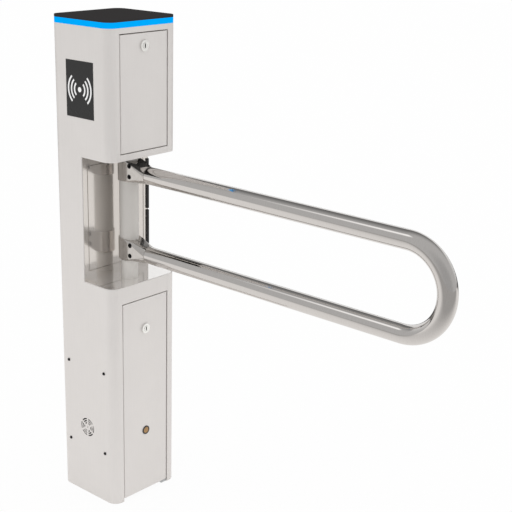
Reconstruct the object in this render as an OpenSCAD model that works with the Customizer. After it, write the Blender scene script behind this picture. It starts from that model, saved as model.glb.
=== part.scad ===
// Swing turnstile: a rectangular steel column with a card reader and a light
// ring, and a recess in which a driven post swings a U-shaped tubular arm.
// +Z is up. +X is the lane side, which the arm and both doors face. -Y is the
// side with the reader. The origin is the middle of the footprint, on the floor.

/* [Column] */
// Height of the section above the recess, up to the light ring
upper_h = 245; // [240:1:250]
// Depth of the column, from its rear to its lane side
column_x = 163; // [160:1:180]
// Width of the column, from the reader side to the far side
column_y = 176; // [172:1:190]
// Outside radius of the upright corners
corner_r = 20; // [16:1:22]
// Thickness of the sheet steel
sheet_t = 2; // [1.6:0.1:2.2]
// Width of the plain corner strips beside the doors
strip_w = 25.6; // [25:0.2:28]
// Depth of the edges folded inwards along the strips
fold_d = 15; // [13:0.5:17]
// Width of the lips behind the rear panel
lip_w = 12; // [9:0.5:14]
// Seam between sheets that meet
seam_gap = 0.2; // [0.1:0.05:0.3]
// Thickness of the foot plate
foot_t = 5; // [4:0.5:6]

/* [Floor anchors] */
// Distance of the anchor holes from the column's front and rear
anchor_end = 36.5; // [34:0.5:40]
// Distance of the anchor holes from the column's sides
anchor_side = 23; // [20:0.5:26]
// Radius of an anchor hole
anchor_r = 6.5; // [5.5:0.5:7.5]
// Distance of the cable hole from the column's rear
cable_rear = 33.5; // [32:0.5:36]
// Radius of the cable hole in the foot plate
cable_r = 20; // [18:0.5:22]
// Wall of the grommet in the cable hole
grommet_wall = 4; // [3:0.5:5]
// Height of the grommet's rims
grommet_rim = 3; // [2:0.5:4]

/* [Lid and light ring] */
// Thickness of the lid
lid_t = 4.5; // [4:0.5:6]
// Height of the light ring
light_h = 10.5; // [9:0.5:12]
// Wall of the light ring
light_wall = 5; // [4:0.5:6]
// Thickness of the tray below the light ring
tray_t = 2; // [1.6:0.2:3]
// Width of the circuit board of the light ring
light_board_w = 10; // [8:1:12]
// Thickness of the circuit boards
board_t = 1.6; // [1.2:0.2:2]
// Depth of the lid's skirt inside the light ring
skirt_h = 5; // [4:0.5:6]
// Wall of the lid's skirt
skirt_t = 2.5; // [2:0.5:3]

/* [Recess] */
// Height of the recess floor
recess_z = 470; // [464:1:474]
// Height of the recess
recess_h = 250; // [248:1:256]
// Distance from the post's axis to the back of the recess
post_back = 37; // [36:0.5:38.5]
// Distance of the access panel's cut-out from the inner side walls
access_side = 11.5; // [10:0.5:16]
// Distance of the access panel's cut-out from the recess floor and ceiling
access_edge = 19; // [15:0.5:25]
// Gap round the access panel
access_gap = 1.3; // [0.8:0.1:1.6]
// Width of the ledge that the access panel seats on
ledge_w = 8; // [6:0.5:10]
// Width of the rubber strips over the far edge of the recess
rubber_w = 5.8; // [4:0.2:8]
// Thickness of the rubber strips
rubber_t = 3; // [2:0.5:4]
// Length of the lowest rubber strip
rubber_l = 73; // [70:1:80]
// Length of the two rubber strips above it
rubber_upper_l = 50; // [40:1:55]
// Gap between the rubber strips
rubber_gap = 3; // [2:0.5:5]
// Height of the strips' lower end above the recess floor
rubber_rise = 42; // [40:1:45]

/* [Doors] */
// Gap round the doors
door_gap = 2; // [1.8:0.1:2.4]
// Depth of the doors' folded edges
door_fold = 12; // [10:0.5:12.5]
// Radius of the doors' outer upright edges
door_edge_r = 2; // [1.8:0.1:2.5]
// Height of the rail above the upper door
upper_rail_h = 10.5; // [9:0.5:12]
// Height of the rail below the upper door
upper_sill_h = 12.5; // [11:0.5:14]
// Height of the rail above the lower door
lower_rail_h = 34.5; // [32:0.5:36]
// Distance of the hinge axis from the doors' outer faces
hinge_inset = 5; // [4.6:0.1:5.4]
// Radius of the hinge pins
pin_r = 2; // [1.8:0.1:2.2]
// Length of a pin's free end
pin_end = 2; // [1.5:0.5:3]

/* [Locks] */
// Upper lock's distance below the upper door's top edge
upper_lock_drop = 23; // [21:0.5:24]
// Lower lock's distance below the lower door's top edge
lower_lock_drop = 63; // [62:0.5:65]
// Radius of the lock's flange
lock_flange_r = 10.5; // [10:0.5:12]
// Thickness of the lock's flange
lock_flange_t = 3; // [2.5:0.5:4]
// Radius of the lock's barrel
lock_barrel_r = 8; // [7.5:0.5:8.5]
// Length of the barrel behind the door's outer face
lock_l = 22.5; // [22:0.1:22.8]
// Radius of the turning plug
plug_r = 5.5; // [5:0.5:6]
// Radius of the plug's tail, which carries the cam
tail_r = 4; // [3.5:0.5:4.5]
// Length of the lock's cam from the plug's axis
cam_l = 28; // [27:0.5:29]
// Width of the lock's cam
cam_w = 10; // [9:0.5:12]
// Thickness of the lock's cam
cam_t = 2; // [1.5:0.5:2.5]
// Depth of the strike that the upper cam turns behind
strike_d = 20; // [19.9:0.1:20.1]
// Distance of the lock bar above the lower lock's axis
bar_rise = 20; // [19:0.5:21]
// Height of the lock bar
bar_h = 10; // [8:1:12]
// Thickness of the lock bar
bar_t = 3; // [2:0.5:3.5]

/* [Passage sensor] */
// Distance of the passage sensor's axis below the brake
sensor_drop = 36; // [32:1:40]
// Radius of the sensor's bezel
bezel_r = 9.2; // [8.8:0.1:10]
// Thickness of the sensor's bezel
bezel_t = 1.4; // [1.2:0.1:2]
// Radius of the sensor's barrel
barrel_r = 8; // [7.5:0.5:8.5]
// Length of the sensor's barrel behind the door's outer face
barrel_l = 35; // [30:1:40]
// Radius of the sensor's lens
lens_r = 6.6; // [6:0.2:7]

/* [Reader and speaker] */
// Width of the reader's window
reader_w = 76; // [70:1:80]
// Height of the reader's window
reader_h = 106; // [100:1:110]
// Distance of the reader's middle below the top of the sheet column
reader_drop = 117; // [112:1:120]
// How far the window stands proud of the column
reader_proud = 0.5; // [0.3:0.1:1]
// Depth of the reader's housing behind the wall
reader_d = 20; // [16:1:24]
// Radius of the middle line of the symbol's smallest arc
wave_r = 14.4; // [13:0.2:15]
// Distance from one arc of the symbol to the next
wave_pitch = 8.6; // [8:0.2:9]
// Width of the symbol's lines
wave_w = 3.6; // [3:0.2:4]
// Thickness of the inlaid symbol
wave_t = 0.4; // [0.3:0.1:0.5]
// Height of the speaker's middle above the floor
speaker_z = 152.5; // [148:0.5:156]
// Radius of the speaker grille
grille_r = 19.7; // [19:0.1:21]
// Width of the grille's slots
grille_slot = 2.8; // [2.4:0.2:3]
// Distance between the rings of slots
grille_pitch = 4.65; // [4.4:0.05:4.8]
// Width of the webs between the sectors of slots
grille_web = 3.8; // [3:0.2:4.2]

/* [Side screws and equipment] */
// Distance of the side screws from the column's front and rear
screw_end = 28.5; // [27.5:0.5:32]
// Height of the lower side screws
screw_low_z = 110.7; // [108:0.1:112]
// Distance of the upper side screws below the drive's deck
screw_drop = 67.5; // [66:0.5:70]
// Radius of a side screw's head
side_head_r = 3.4; // [2.8:0.2:3.6]
// Radius of a side screw's shank
side_shank_r = 1.8; // [1.5:0.1:2]
// Radius of a rear screw's head
rear_head_r = 4.5; // [4:0.5:5]
// Radius of a rear screw's shank
rear_shank_r = 2.4; // [2:0.1:2.6]
// Height of the screw heads
head_h = 1.8; // [1.5:0.1:2.2]

/* [Arm] */
// Distance of the post's axis behind the lane side
post_inset = 44.5; // [43.5:0.5:45.5]
// Radius of the swinging post
post_r = 19.05; // [18.6:0.05:19.2]
// Radius of the fixed boss below the post
boss_r = 16.85; // [16:0.05:17.5]
// Radius of the arm's tube
tube_r = 16.85; // [16:0.05:17]
// Wall of the arm's tube
tube_wall = 2; // [1.5:0.5:3]
// Reach of the arm from the post's axis
arm_reach = 741; // [600:1:900]
// Height of the arm's lower leg above the recess floor
leg_rise = 57; // [56:0.5:60]
// Distance of the arm's upper leg below the recess ceiling
leg_drop = 34; // [32:0.5:36]
// Height of a clamp bracket
bracket_h = 43.5; // [42:0.5:44]
// Distance of a bracket's middle above its leg's axis
bracket_rise = 5; // [4:0.5:7]
// Wall of a bracket's sleeve round the post
sleeve_wall = 2.3; // [2:0.1:2.6]
// Length of a bracket's clamping slit from the post's axis
slit_l = 34; // [32:0.5:37]
// Distance of a bracket's collar end from the post's axis
collar_x = 58; // [56:0.5:60]
// Length of a bracket's collar
collar_l = 3; // [2:0.5:4]
// Height of the collar's rim above the tube
collar_rim = 0.5; // [0.3:0.1:1]
// Length of the bracket's spigot in the tube
seat_l = 20; // [15:1:25]
// Distance between the bolts of one bracket
bolt_pitch = 21; // [19.5:0.5:21.5]
// Distance of the bracket's bolts from the post's axis
bolt_x = 22; // [22:0.1:23]
// Radius of the bracket's bolts
bolt_r = 2.5; // [2:0.1:2.5]
// Radius of the bolts' heads
bolt_head_r = 4.5; // [4.2:0.1:4.6]
// Height of the bolts' heads
bolt_head_h = 5; // [4:0.5:6]
// Width of the bracket's clamping slit
slit_w = 2; // [1.5:0.1:2.5]

/* [Drive] */
// Radius of the drive shaft
shaft_r = 10; // [9.5:0.1:10]
// Radius of the shaft's lower end, in the gearbox
spigot_r = 7; // [6:0.5:8]
// Outside radius of the shaft's ball bearings
bearing_r = 21; // [20:0.5:22]
// Width of the shaft's ball bearings
bearing_w = 12; // [11:0.5:13]
// Radius of the gearbox
gearbox_r = 30; // [28:0.5:32]
// Height of the gearbox
gearbox_h = 50; // [46:1:52]
// Radius of the motor
motor_r = 28.5; // [27:0.5:29]
// Height of the motor
motor_h = 95; // [90:1:98]
// Radius of the brake
brake_r = 25; // [23:0.5:26]
// Height of the brake
brake_h = 25; // [22:1:27]
// Distance of the drive's deck below the recess floor
deck_drop = 114; // [112:1:116]
// Thickness of the drive's deck
deck_t = 6; // [5:0.5:7]
// Radius of the disc that the position sensors read
disc_r = 24; // [23:0.5:25]

/* [Hidden] */
$fn = 64;
hull_fn = 32;
// Overrun of every cut past the face that it opens
over = 1;
// Radial clearance of a pin or shaft in its hole
fit_gap = 0.05;
// Depth of a bracket's cheek behind its sleeve's widest line
cheek_step = 1.6;
// Clearance between a moving face and a fixed one
run_gap = 0.3;
hx = column_x / 2;
hy = column_y / 2;
recess_top = recess_z + recess_h;
recess_mid = recess_z + recess_h / 2;
shell_h = recess_top + upper_h;
column_h = shell_h + light_h + lid_t;
post_x = hx - post_inset;
recess_x = post_x - post_back;
seam_y = hy - strip_w;
rail_y = seam_y - seam_gap;
inner_x = hx - sheet_t;
inner_y = hy - sheet_t;
fold_x = inner_x - fold_d;
foot_front = fold_x - door_gap;
door_y = seam_y - door_gap;
door_in_x = inner_x - door_fold;
upper_door_top = shell_h - upper_rail_h - door_gap;
upper_door_bottom = recess_top + upper_sill_h + door_gap;
lower_door_top = recess_z - lower_rail_h - door_gap;
lower_door_bottom = foot_t + door_gap;
hinge_x = hx - hinge_inset;
hinge_y = door_y - hinge_inset;
upper_lock_z = upper_door_top - upper_lock_drop;
lower_lock_z = lower_door_top - lower_lock_drop;
cam_x = hx - lock_l - run_gap;
strike_x = inner_x - strike_d;
reader_z = shell_h - reader_drop;
lower_leg_z = recess_z + leg_rise;
upper_leg_z = recess_top - leg_drop;
bend_r = (upper_leg_z - lower_leg_z) / 2;
bend_x = post_x + arm_reach - bend_r - tube_r;
sleeve_r = post_r + fit_gap + sleeve_wall;
cheek_half = sleeve_r - cheek_step;
neck_x = collar_x - collar_l;
post_rise = leg_rise + bracket_rise - bracket_h / 2;
collar_r = tube_r + collar_rim;
spigot_seat_r = tube_r - tube_wall - fit_gap;
deck_top = recess_z - deck_drop;
deck_z = deck_top - deck_t;
gearbox_z = deck_z - gearbox_h;
motor_z = gearbox_z - motor_h;
brake_z = motor_z - brake_h;
sensor_z = brake_z - sensor_drop;
screw_half = hx - screw_end;
screw_high_z = deck_top - screw_drop;
cable_x = hx - cable_rear;
access_y = inner_y - access_side;
access_z = recess_h / 2 - access_edge;
// Pivot tongue of the foot plate and thickness of the rubber grommet's groove
tongue_w = 16;
groove_d = 2;
// Rear screws: distance from the panel's edge and heights as shares of the column
rear_screw_edge = 6;
rear_screw_shares = [0.06, 0.35, 0.64, 0.93];
screw_grip = 6;
hex_r = 1.6;
hex_d = 1;
// Equipment plate, set off the near wall on bosses
plate_margin = 8;
plate_standoff = 2;
plate_t = 2;
plate_boss_r = 5;
speaker_flange_r = 27;
speaker_r = 22;
speaker_flange_t = 3;
speaker_d = 24;
speaker_clear = 2;
magnet_r = 15;
supply_size = [80, 36, 30];
supply_edge = 2;
supply_rim = 3;
vent_w = 3;
vent_pitch = 8;
// Reader: housing border, dot and spread of the arcs
housing_border = 8;
housing_step = 4;
housing_flange_t = 2;
dot_r = 4.8;
wave_spread = 48;
// Control board on studs of the far wall
control_size = [80, 150];
control_end = 21.5;
control_drop = 190;
stud_h = 6;
stud_r = 3;
stud_inset = 6;
chip_sizes = [[18, 4, 18], [30, 12, 12], [30, 12, 12], [14, 14, 20], [20, 8, 9]];
chip_places = [[31, 62], [8, 10], [42, 10], [12, 104], [50, 114]];
light_count = 10;
light_chip = 5;
light_chip_h = 1.5;
// Drive: deck, bearing seats, boss, washer, disc and position sensors
deck_half = 47;
deck_flange_h = 32;
deck_hole_r = 13;
deck_bolt_r = 2.5;
deck_bolt_at = 22;
deck_bolt_head_r = 4.2;
deck_bolt_head_h = 4;
deck_bolt_l = 10;
spigot_l = 40;
housing_wall = 6;
bearing_lip = 3;
bearing_seat = 6;
pad_t = 5;
pad_half = 38;
boss_flange_h = 10;
washer_t = 2.2;
washer_wall = 5;
post_top_gap = 1.5;
post_wall = 3;
post_hub = 20;
disc_t = 3;
disc_hub_h = 6;
disc_hub_r = 14;
disc_notch = 4;
shaft_end = 4;
bridge_t = 2;
bridge_h = 50;
bridge_half = 34;
bridge_w = 30;
probe_r = 4;
probe_at = 18;
probe_gap = 2;
probe_l = 30;
probe_nut_r = 7;
probe_nut_t = 3;
rib_count = 7;
rib_h = 2;
rib_d = 1.5;
// Lock: key slot, nut, plug's front, sensor nut and lens
key_w = 2.4;
key_h = 8;
key_d = 18;
lock_nut_r = 13;
lock_nut_t = 4;
plug_proud = 0.4;
tail_end = 1;
sensor_nut_r = 13;
sensor_nut_t = 4;
lens_d = 1;
slope_back = 5;
slope_lift = 0.3;
head_recess = 1;

// Builds a box from its lowest corner to its highest.
module block(low, high) {
    translate(low)
        cube(high - low);
}

// Builds an upright cylinder between two heights.
module upright(r, z0, z1) {
    translate([0, 0, z0])
        cylinder(r = r, h = z1 - z0);
}

// Builds a cylinder along X.
module bar_x(r, x0, x1) {
    translate([x0, 0, 0])
        rotate([0, 90, 0])
            cylinder(r = r, h = x1 - x0);
}

// Builds a cylinder along Y.
module bar_y(r, y0, y1) {
    translate([0, y1, 0])
        rotate([90, 0, 0])
            cylinder(r = r, h = y1 - y0);
}

// Builds a hexagonal bar along X.
module hex_x(r, x0, x1) {
    translate([x0, 0, 0])
        rotate([0, 90, 0])
            cylinder(r = r, h = x1 - x0, $fn = 6);
}

// Draws a rectangle with round corners.
module rounded(x, y, r) {
    square([x - 2 * r, y], center = true);
    square([x, y - 2 * r], center = true);
    for (sx = [-1, 1], sy = [-1, 1])
        translate([sx * (x / 2 - r), sy * (y / 2 - r)])
            circle(r = r);
}

// Draws the column's outline, set in from its outer faces.
module footprint(inset) {
    rounded(column_x - 2 * inset, column_y - 2 * inset, corner_r - inset);
}

// Builds a slice of the column's outline between two heights.
module slice(inset, z0, z1) {
    translate([0, 0, z0])
        linear_extrude(height = z1 - z0)
            footprint(inset);
}

// Builds a flat sheet inside the column, in front of the recess's back.
module recess_sheet(z0, z1) {
    intersection() {
        slice(sheet_t + seam_gap, z0, z1);
        block([recess_x, -hy, z0 - over], [hx, hy, z1 + over]);
    }
}

// Builds a screw along -Z from a seat at 0, with a socket in its head.
module screw(head_r, shank_r, grip) {
    difference() {
        union() {
            cylinder(r1 = head_r, r2 = head_r - head_h / 3, h = head_h);
            upright(shank_r, -grip, head_h / 2);
        }
        upright_hex(hex_r, head_h - hex_d, head_h + over);
    }
}

// Builds an upright hexagonal bar.
module upright_hex(r, z0, z1) {
    translate([0, 0, z0])
        cylinder(r = r, h = z1 - z0, $fn = 6);
}

// Places its children at every screw of the rear panel.
module at_rear_screws() {
    for (share = rear_screw_shares, side = [-1, 1])
        translate([-hx, side * (rail_y - rear_screw_edge), share * shell_h])
            rotate([0, -90, 0])
                children();
}

// Places its children at every side screw.
module at_side_screws() {
    for (side = [-1, 1], z = [screw_low_z, screw_high_z])
        translate([side * screw_half, -hy, z])
            rotate([90, 0, 0])
                children();
}

// Places its children at every stud of the control board.
module at_studs() {
    for (i = [0, 1], k = [0, 1])
        translate([
            (control_end - hx) + stud_inset + i * (control_size[0] - 2 * stud_inset),
            0,
            (shell_h - control_drop) + stud_inset + k * (control_size[1] - 2 * stud_inset)
        ])
            children();
}

// Builds the side of the column that faces -Y, with its folded edges and lip.
module side_panel() {
    difference() {
        union() {
            intersection() {
                difference() {
                    slice(0, 0, shell_h);
                    slice(sheet_t, -over, shell_h + over);
                }
                block([-hx - over, -hy - over, -over], [hx + over, -seam_y, shell_h + over]);
            }
            block([fold_x, -seam_y - sheet_t, 0], [hx - sheet_t / 2, -seam_y, recess_z - sheet_t - seam_gap]);
            block(
                [fold_x, -seam_y - sheet_t, recess_top + sheet_t + seam_gap],
                [hx - sheet_t / 2, -seam_y, shell_h - tray_t - seam_gap]
            );
            block(
                [-inner_x, -seam_y - lip_w, foot_t + seam_gap],
                [-inner_x + sheet_t, -seam_y + lip_w, shell_h - tray_t - seam_gap]
            );
        }
        block([recess_x, -hy - over, recess_z], [hx + over, 0, recess_top]);
        at_rear_screws()
            upright(rear_shank_r + fit_gap, -screw_grip - over, over);
    }
}

// Draws the speaker's grille: rings of slots cut into six sectors by webs.
module grille() {
    difference() {
        for (k = [0:2])
            difference() {
                circle(r = grille_r - k * grille_pitch);
                circle(r = grille_r - k * grille_pitch - grille_slot);
            }
        for (a = [30, 90, 150])
            rotate(a)
                square([2 * (grille_r + over), grille_web], center = true);
    }
    circle(r = grille_slot / 2);
}

module foot_plate() {
    color("#8E9093")
        difference() {
            union() {
                intersection() {
                    slice(sheet_t + seam_gap, 0, foot_t);
                    block([-hx, -hy, -over], [foot_front, hy, foot_t + over]);
                }
                block([foot_front - over, hinge_y - tongue_w / 2, 0], [inner_x - seam_gap, rail_y, foot_t]);
            }
            for (sx = [-1, 1], sy = [-1, 1])
                translate([sx * (hx - anchor_end), sy * (hy - anchor_side), 0])
                    upright(anchor_r, -over, foot_t + over);
            translate([-cable_x, 0, 0])
                upright(cable_r, -over, foot_t + over);
            translate([hinge_x, hinge_y, 0])
                upright(pin_r + fit_gap, foot_t / 2, foot_t + over);
        }
}

module floor_grommet() {
    color("#202022")
        translate([-cable_x, 0, 0])
            difference() {
                union() {
                    upright(cable_r - fit_gap, 0, foot_t + grommet_rim);
                    upright(cable_r + groove_d, foot_t, foot_t + grommet_rim);
                }
                upright(cable_r - grommet_wall, -over, foot_t + grommet_rim + over);
            }
}

module near_side_panel() {
    color("#D8D4D0")
        difference() {
            side_panel();
            block(
                [-reader_w / 2 - seam_gap, -hy - over, reader_z - reader_h / 2 - seam_gap],
                [reader_w / 2 + seam_gap, -inner_y + over, reader_z + reader_h / 2 + seam_gap]
            );
            translate([0, -inner_y + over, speaker_z])
                rotate([90, 0, 0])
                    linear_extrude(height = sheet_t + 2 * over)
                        grille();
            at_side_screws()
                upright(side_shank_r + fit_gap, -sheet_t - over, over);
        }
}

module far_side_panel() {
    color("#D8D4D0") {
        mirror([0, 1, 0])
            side_panel();
        at_studs()
            bar_y(stud_r, inner_y - stud_h, inner_y + sheet_t / 2);
    }
}

module rear_panel() {
    color("#D2CECA")
        difference() {
            block([-hx, -rail_y, 0], [-inner_x, rail_y, shell_h]);
            at_rear_screws()
                upright(rear_shank_r + fit_gap, -sheet_t - over, over);
        }
}

module rear_screws() {
    color("#9A9C9E")
        at_rear_screws()
            screw(rear_head_r, rear_shank_r, screw_grip);
}

// Builds a rail between the strips, with one edge folded inwards as a ledge.
module rail(z0, z1, ledge_z, ledge_d) {
    difference() {
        union() {
            block([inner_x, -rail_y, z0], [hx, rail_y, z1]);
            block([inner_x - ledge_d, -rail_y, ledge_z], [hx - sheet_t / 2, rail_y, ledge_z + sheet_t]);
        }
        translate([hinge_x, hinge_y, 0])
            upright(pin_r + fit_gap, ledge_z - over, ledge_z + sheet_t + over);
    }
}

module upper_top_rail() {
    color("#D4D0CC")
        rail(shell_h - upper_rail_h, shell_h, shell_h - upper_rail_h, strike_d);
}

module upper_bottom_rail() {
    color("#D4D0CC")
        rail(recess_top, recess_top + upper_sill_h, recess_top + upper_sill_h - sheet_t, fold_d);
}

module lower_top_rail() {
    color("#D4D0CC")
        rail(recess_z - lower_rail_h, recess_z, recess_z - lower_rail_h, fold_d);
}

module lock_bar() {
    z0 = lower_lock_z + bar_rise;
    color("#A9ABAD") {
        block([strike_x, -rail_y, z0], [strike_x + bar_t, rail_y, z0 + bar_h]);
        for (side = [0, 1])
            mirror([0, side, 0])
                block([strike_x, rail_y - sheet_t, z0], [fold_x + door_edge_r, rail_y, z0 + bar_h]);
    }
}

module recess_ceiling() {
    color("#CFCFCF")
        difference() {
            recess_sheet(recess_top, recess_top + sheet_t);
            translate([post_x, 0, 0])
                upright(shaft_r + groove_d, recess_top - over, recess_top + sheet_t + over);
        }
}

module recess_floor() {
    color("#DADADA")
        difference() {
            recess_sheet(recess_z - sheet_t, recess_z);
            translate([post_x, 0, 0])
                upright(boss_r + fit_gap, recess_z - sheet_t - over, recess_z + over);
        }
}

module recess_back_frame() {
    open_y = access_y - ledge_w;
    open_z = access_z - ledge_w;
    color("#D0CCC8")
        difference() {
            block(
                [recess_x - 2 * sheet_t, -inner_y + seam_gap, recess_z - sheet_t],
                [recess_x, inner_y - seam_gap, recess_top + sheet_t]
            );
            block(
                [recess_x - sheet_t, -access_y, recess_mid - access_z],
                [recess_x + over, access_y, recess_mid + access_z]
            );
            block(
                [recess_x - 2 * sheet_t - over, -open_y, recess_mid - open_z],
                [recess_x, open_y, recess_mid + open_z]
            );
        }
}

module access_panel() {
    half_y = access_y - access_gap;
    half_z = access_z - access_gap;
    color("#C6C8CA")
        translate([0, 0, recess_mid])
            block([recess_x - sheet_t, -half_y, -half_z], [recess_x, half_y, half_z]);
}

// Builds one rubber strip from a height upwards.
module rubber_strip(z0, l) {
    y1 = hy - seam_gap;
    block([recess_x, y1 - rubber_w, z0], [recess_x + rubber_t, y1, z0 + l]);
}

module rubber_strips() {
    z0 = recess_z + rubber_rise;
    z1 = z0 + rubber_l + rubber_gap;
    color("#1C1C1E") {
        rubber_strip(z0, rubber_l);
        rubber_strip(z1, rubber_upper_l);
        rubber_strip(z1 + rubber_upper_l + rubber_gap, rubber_upper_l);
    }
}

module top_tray() {
    color("#B9BBBD")
        slice(sheet_t + seam_gap, shell_h - tray_t, shell_h);
}

module light_board() {
    inset = light_wall + seam_gap;
    mid = inset + light_board_w / 2;
    color("#E9ECE8") {
        difference() {
            slice(inset, shell_h, shell_h + board_t);
            translate([0, 0, shell_h - over])
                linear_extrude(height = board_t + 2 * over)
                    rounded(
                        column_x - 2 * (inset + light_board_w),
                        column_y - 2 * (inset + light_board_w),
                        light_wall
                    );
        }
        for (k = [0:light_count - 1], side = [-1, 1]) {
            along = (k + 1 / 2) / light_count - 1 / 2;
            translate([along * (column_x - 2 * corner_r), side * (hy - mid), shell_h])
                upright_chip();
            translate([side * (hx - mid), along * (column_y - 2 * corner_r), shell_h])
                upright_chip();
        }
    }
}

// Builds one light chip, standing on the board.
module upright_chip() {
    block(
        [-light_chip / 2, -light_chip / 2, board_t / 2],
        [light_chip / 2, light_chip / 2, board_t + light_chip_h]
    );
}

module light_diffuser() {
    color("#00A2FF")
        difference() {
            slice(0, shell_h, shell_h + light_h);
            slice(light_wall, shell_h - over, shell_h + light_h + over);
        }
}

module top_lid() {
    color("#383636") {
        slice(0, column_h - lid_t, column_h);
        difference() {
            slice(light_wall + seam_gap, column_h - lid_t - skirt_h, column_h - lid_t / 2);
            slice(light_wall + seam_gap + skirt_t, column_h - lid_t - skirt_h - over, column_h - lid_t);
        }
    }
}

// Draws the radio-wave symbol: a dot with three arcs on either side.
module waves() {
    far = wave_r + 4 * wave_pitch;
    circle(r = dot_r);
    intersection() {
        for (k = [0:2])
            difference() {
                circle(r = wave_r + k * wave_pitch - wave_w / 2 + wave_w);
                circle(r = wave_r + k * wave_pitch - wave_w / 2);
            }
        for (side = [-1, 1])
            polygon([
                [0, 0],
                [side * far * cos(wave_spread), far * sin(wave_spread)],
                [side * far, 0],
                [side * far * cos(wave_spread), -far * sin(wave_spread)]
            ]);
    }
}

// Builds the symbol as a plate with its front in the window's front.
module wave_plate(depth, ahead) {
    translate([0, -hy - reader_proud + depth, reader_z])
        rotate([90, 0, 0])
            linear_extrude(height = depth + ahead)
                waves();
}

module reader_window() {
    color("#3A3A3A")
        difference() {
            block(
                [-reader_w / 2, -hy - reader_proud, reader_z - reader_h / 2],
                [reader_w / 2, -inner_y, reader_z + reader_h / 2]
            );
            wave_plate(wave_t, over);
        }
}

module reader_symbol() {
    color("#F4F4F4")
        wave_plate(wave_t, 0);
}

module reader_housing() {
    half_w = reader_w / 2;
    half_h = reader_h / 2;
    color("#2A2A2C")
        translate([0, 0, reader_z]) {
            block(
                [-half_w - housing_border, -inner_y, -half_h - housing_border],
                [half_w + housing_border, -inner_y + housing_flange_t, half_h + housing_border]
            );
            block(
                [-half_w + housing_step, -inner_y + housing_flange_t / 2, -half_h + housing_step],
                [half_w - housing_step, -inner_y + reader_d, half_h - housing_step]
            );
        }
}

module speaker() {
    color("#27272A")
        translate([0, 0, speaker_z])
            difference() {
                union() {
                    bar_y(speaker_flange_r, -inner_y, -inner_y + speaker_flange_t);
                    bar_y(speaker_r, -inner_y, -inner_y + speaker_d - speaker_flange_t);
                    bar_y(magnet_r, -inner_y, -inner_y + speaker_d);
                }
                bar_y(speaker_r - groove_d, -inner_y - over, -inner_y + speaker_flange_t);
            }
}

module side_screws() {
    color("#1E1E20")
        at_side_screws()
            screw(side_head_r, side_shank_r, sheet_t + plate_standoff + plate_t);
}

module equipment_plate() {
    y0 = -inner_y + plate_standoff;
    color("#BFC1C3")
        difference() {
            union() {
                block(
                    [-screw_half - plate_margin, y0, screw_low_z - plate_margin],
                    [screw_half + plate_margin, y0 + plate_t, screw_high_z + plate_margin]
                );
                at_side_screws()
                    upright(plate_boss_r, -sheet_t - plate_standoff - plate_t / 2, -sheet_t);
            }
            translate([0, 0, speaker_z])
                bar_y(speaker_flange_r + speaker_clear, y0 - over, y0 + plate_t + over);
            at_side_screws()
                upright(side_shank_r + fit_gap, -sheet_t - plate_standoff - plate_t - over, over);
        }
}

module power_supply() {
    y0 = -inner_y + plate_standoff + plate_t;
    color("#B4B6B8")
        translate([-supply_size[0] / 2, y0, screw_high_z + plate_margin - supply_edge - supply_size[2]])
            difference() {
                cube(supply_size);
                for (z = [vent_pitch:vent_pitch:supply_size[2] - vent_pitch])
                    block(
                        [vent_pitch, supply_size[1] - supply_rim, z],
                        [supply_size[0] - vent_pitch, supply_size[1] + over, z + vent_w]
                    );
            }
}

module control_board() {
    y1 = inner_y - stud_h;
    y0 = y1 - board_t;
    color("#2F6B45") {
        block(
            [(control_end - hx), y0, (shell_h - control_drop)],
            [(control_end - hx) + control_size[0], y1, (shell_h - control_drop) + control_size[1]]
        );
        for (k = [0:len(chip_sizes) - 1])
            translate([control_end - hx, y0, shell_h - control_drop])
                translate([chip_places[k][0], 0, chip_places[k][1]])
                    block(
                        [0, -chip_sizes[k][1], 0],
                        [chip_sizes[k][0], board_t / 2, chip_sizes[k][2]]
                    );
    }
}

// Places its children at the bolts that hold the gearbox under its deck.
module at_deck_bolts() {
    for (sx = [-1, 1], sy = [-1, 1])
        translate([post_x + sx * deck_bolt_at, sy * deck_bolt_at, 0])
            children();
}

module motor_deck() {
    deck_y = inner_y - seam_gap;
    color("#9C9EA1")
        difference() {
            union() {
                block([post_x - deck_half, -deck_y, deck_z], [foot_front, deck_y, deck_top]);
                for (side = [0, 1])
                    mirror([0, side, 0])
                        block(
                            [post_x - deck_half, deck_y - sheet_t, deck_z - deck_flange_h],
                            [foot_front, deck_y, deck_top]
                        );
            }
            translate([post_x, 0, 0])
                upright(deck_hole_r, deck_z - over, deck_top + over);
            at_deck_bolts()
                upright(deck_bolt_r + fit_gap, deck_z - over, deck_top + over);
        }
}

module gearbox() {
    half = gearbox_r;
    color("#5C6066")
        difference() {
            union() {
                translate([post_x, 0, 0])
                    upright(gearbox_r, gearbox_z, deck_z);
                translate([post_x, 0, 0])
                    block([-half, -half, deck_z - deck_bolt_l - over], [half, half, deck_z]);
            }
            translate([post_x, 0, 0])
                upright(spigot_r + fit_gap, deck_z - spigot_l - over, deck_z + over);
            at_deck_bolts()
                upright(deck_bolt_r + fit_gap, deck_z - deck_bolt_l, deck_z + over);
        }
}

module gearbox_bolts() {
    color("#303236")
        at_deck_bolts()
            difference() {
                union() {
                    upright(deck_bolt_r, deck_z - deck_bolt_l + seam_gap, deck_top + deck_bolt_head_h / 2);
                    upright(deck_bolt_head_r, deck_top, deck_top + deck_bolt_head_h);
                }
                upright_hex(hex_r, deck_top + deck_bolt_head_h / 2, deck_top + deck_bolt_head_h + over);
            }
}

module motor() {
    rib_pitch = motor_h / (rib_count + 1);
    color("#2E3238")
        translate([post_x, 0, motor_z])
            difference() {
                upright(motor_r, 0, motor_h);
                for (k = [1:rib_count])
                    difference() {
                        upright(motor_r + over, k * rib_pitch, k * rib_pitch + rib_h);
                        upright(motor_r - rib_d, -over, motor_h + over);
                    }
            }
}

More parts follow.
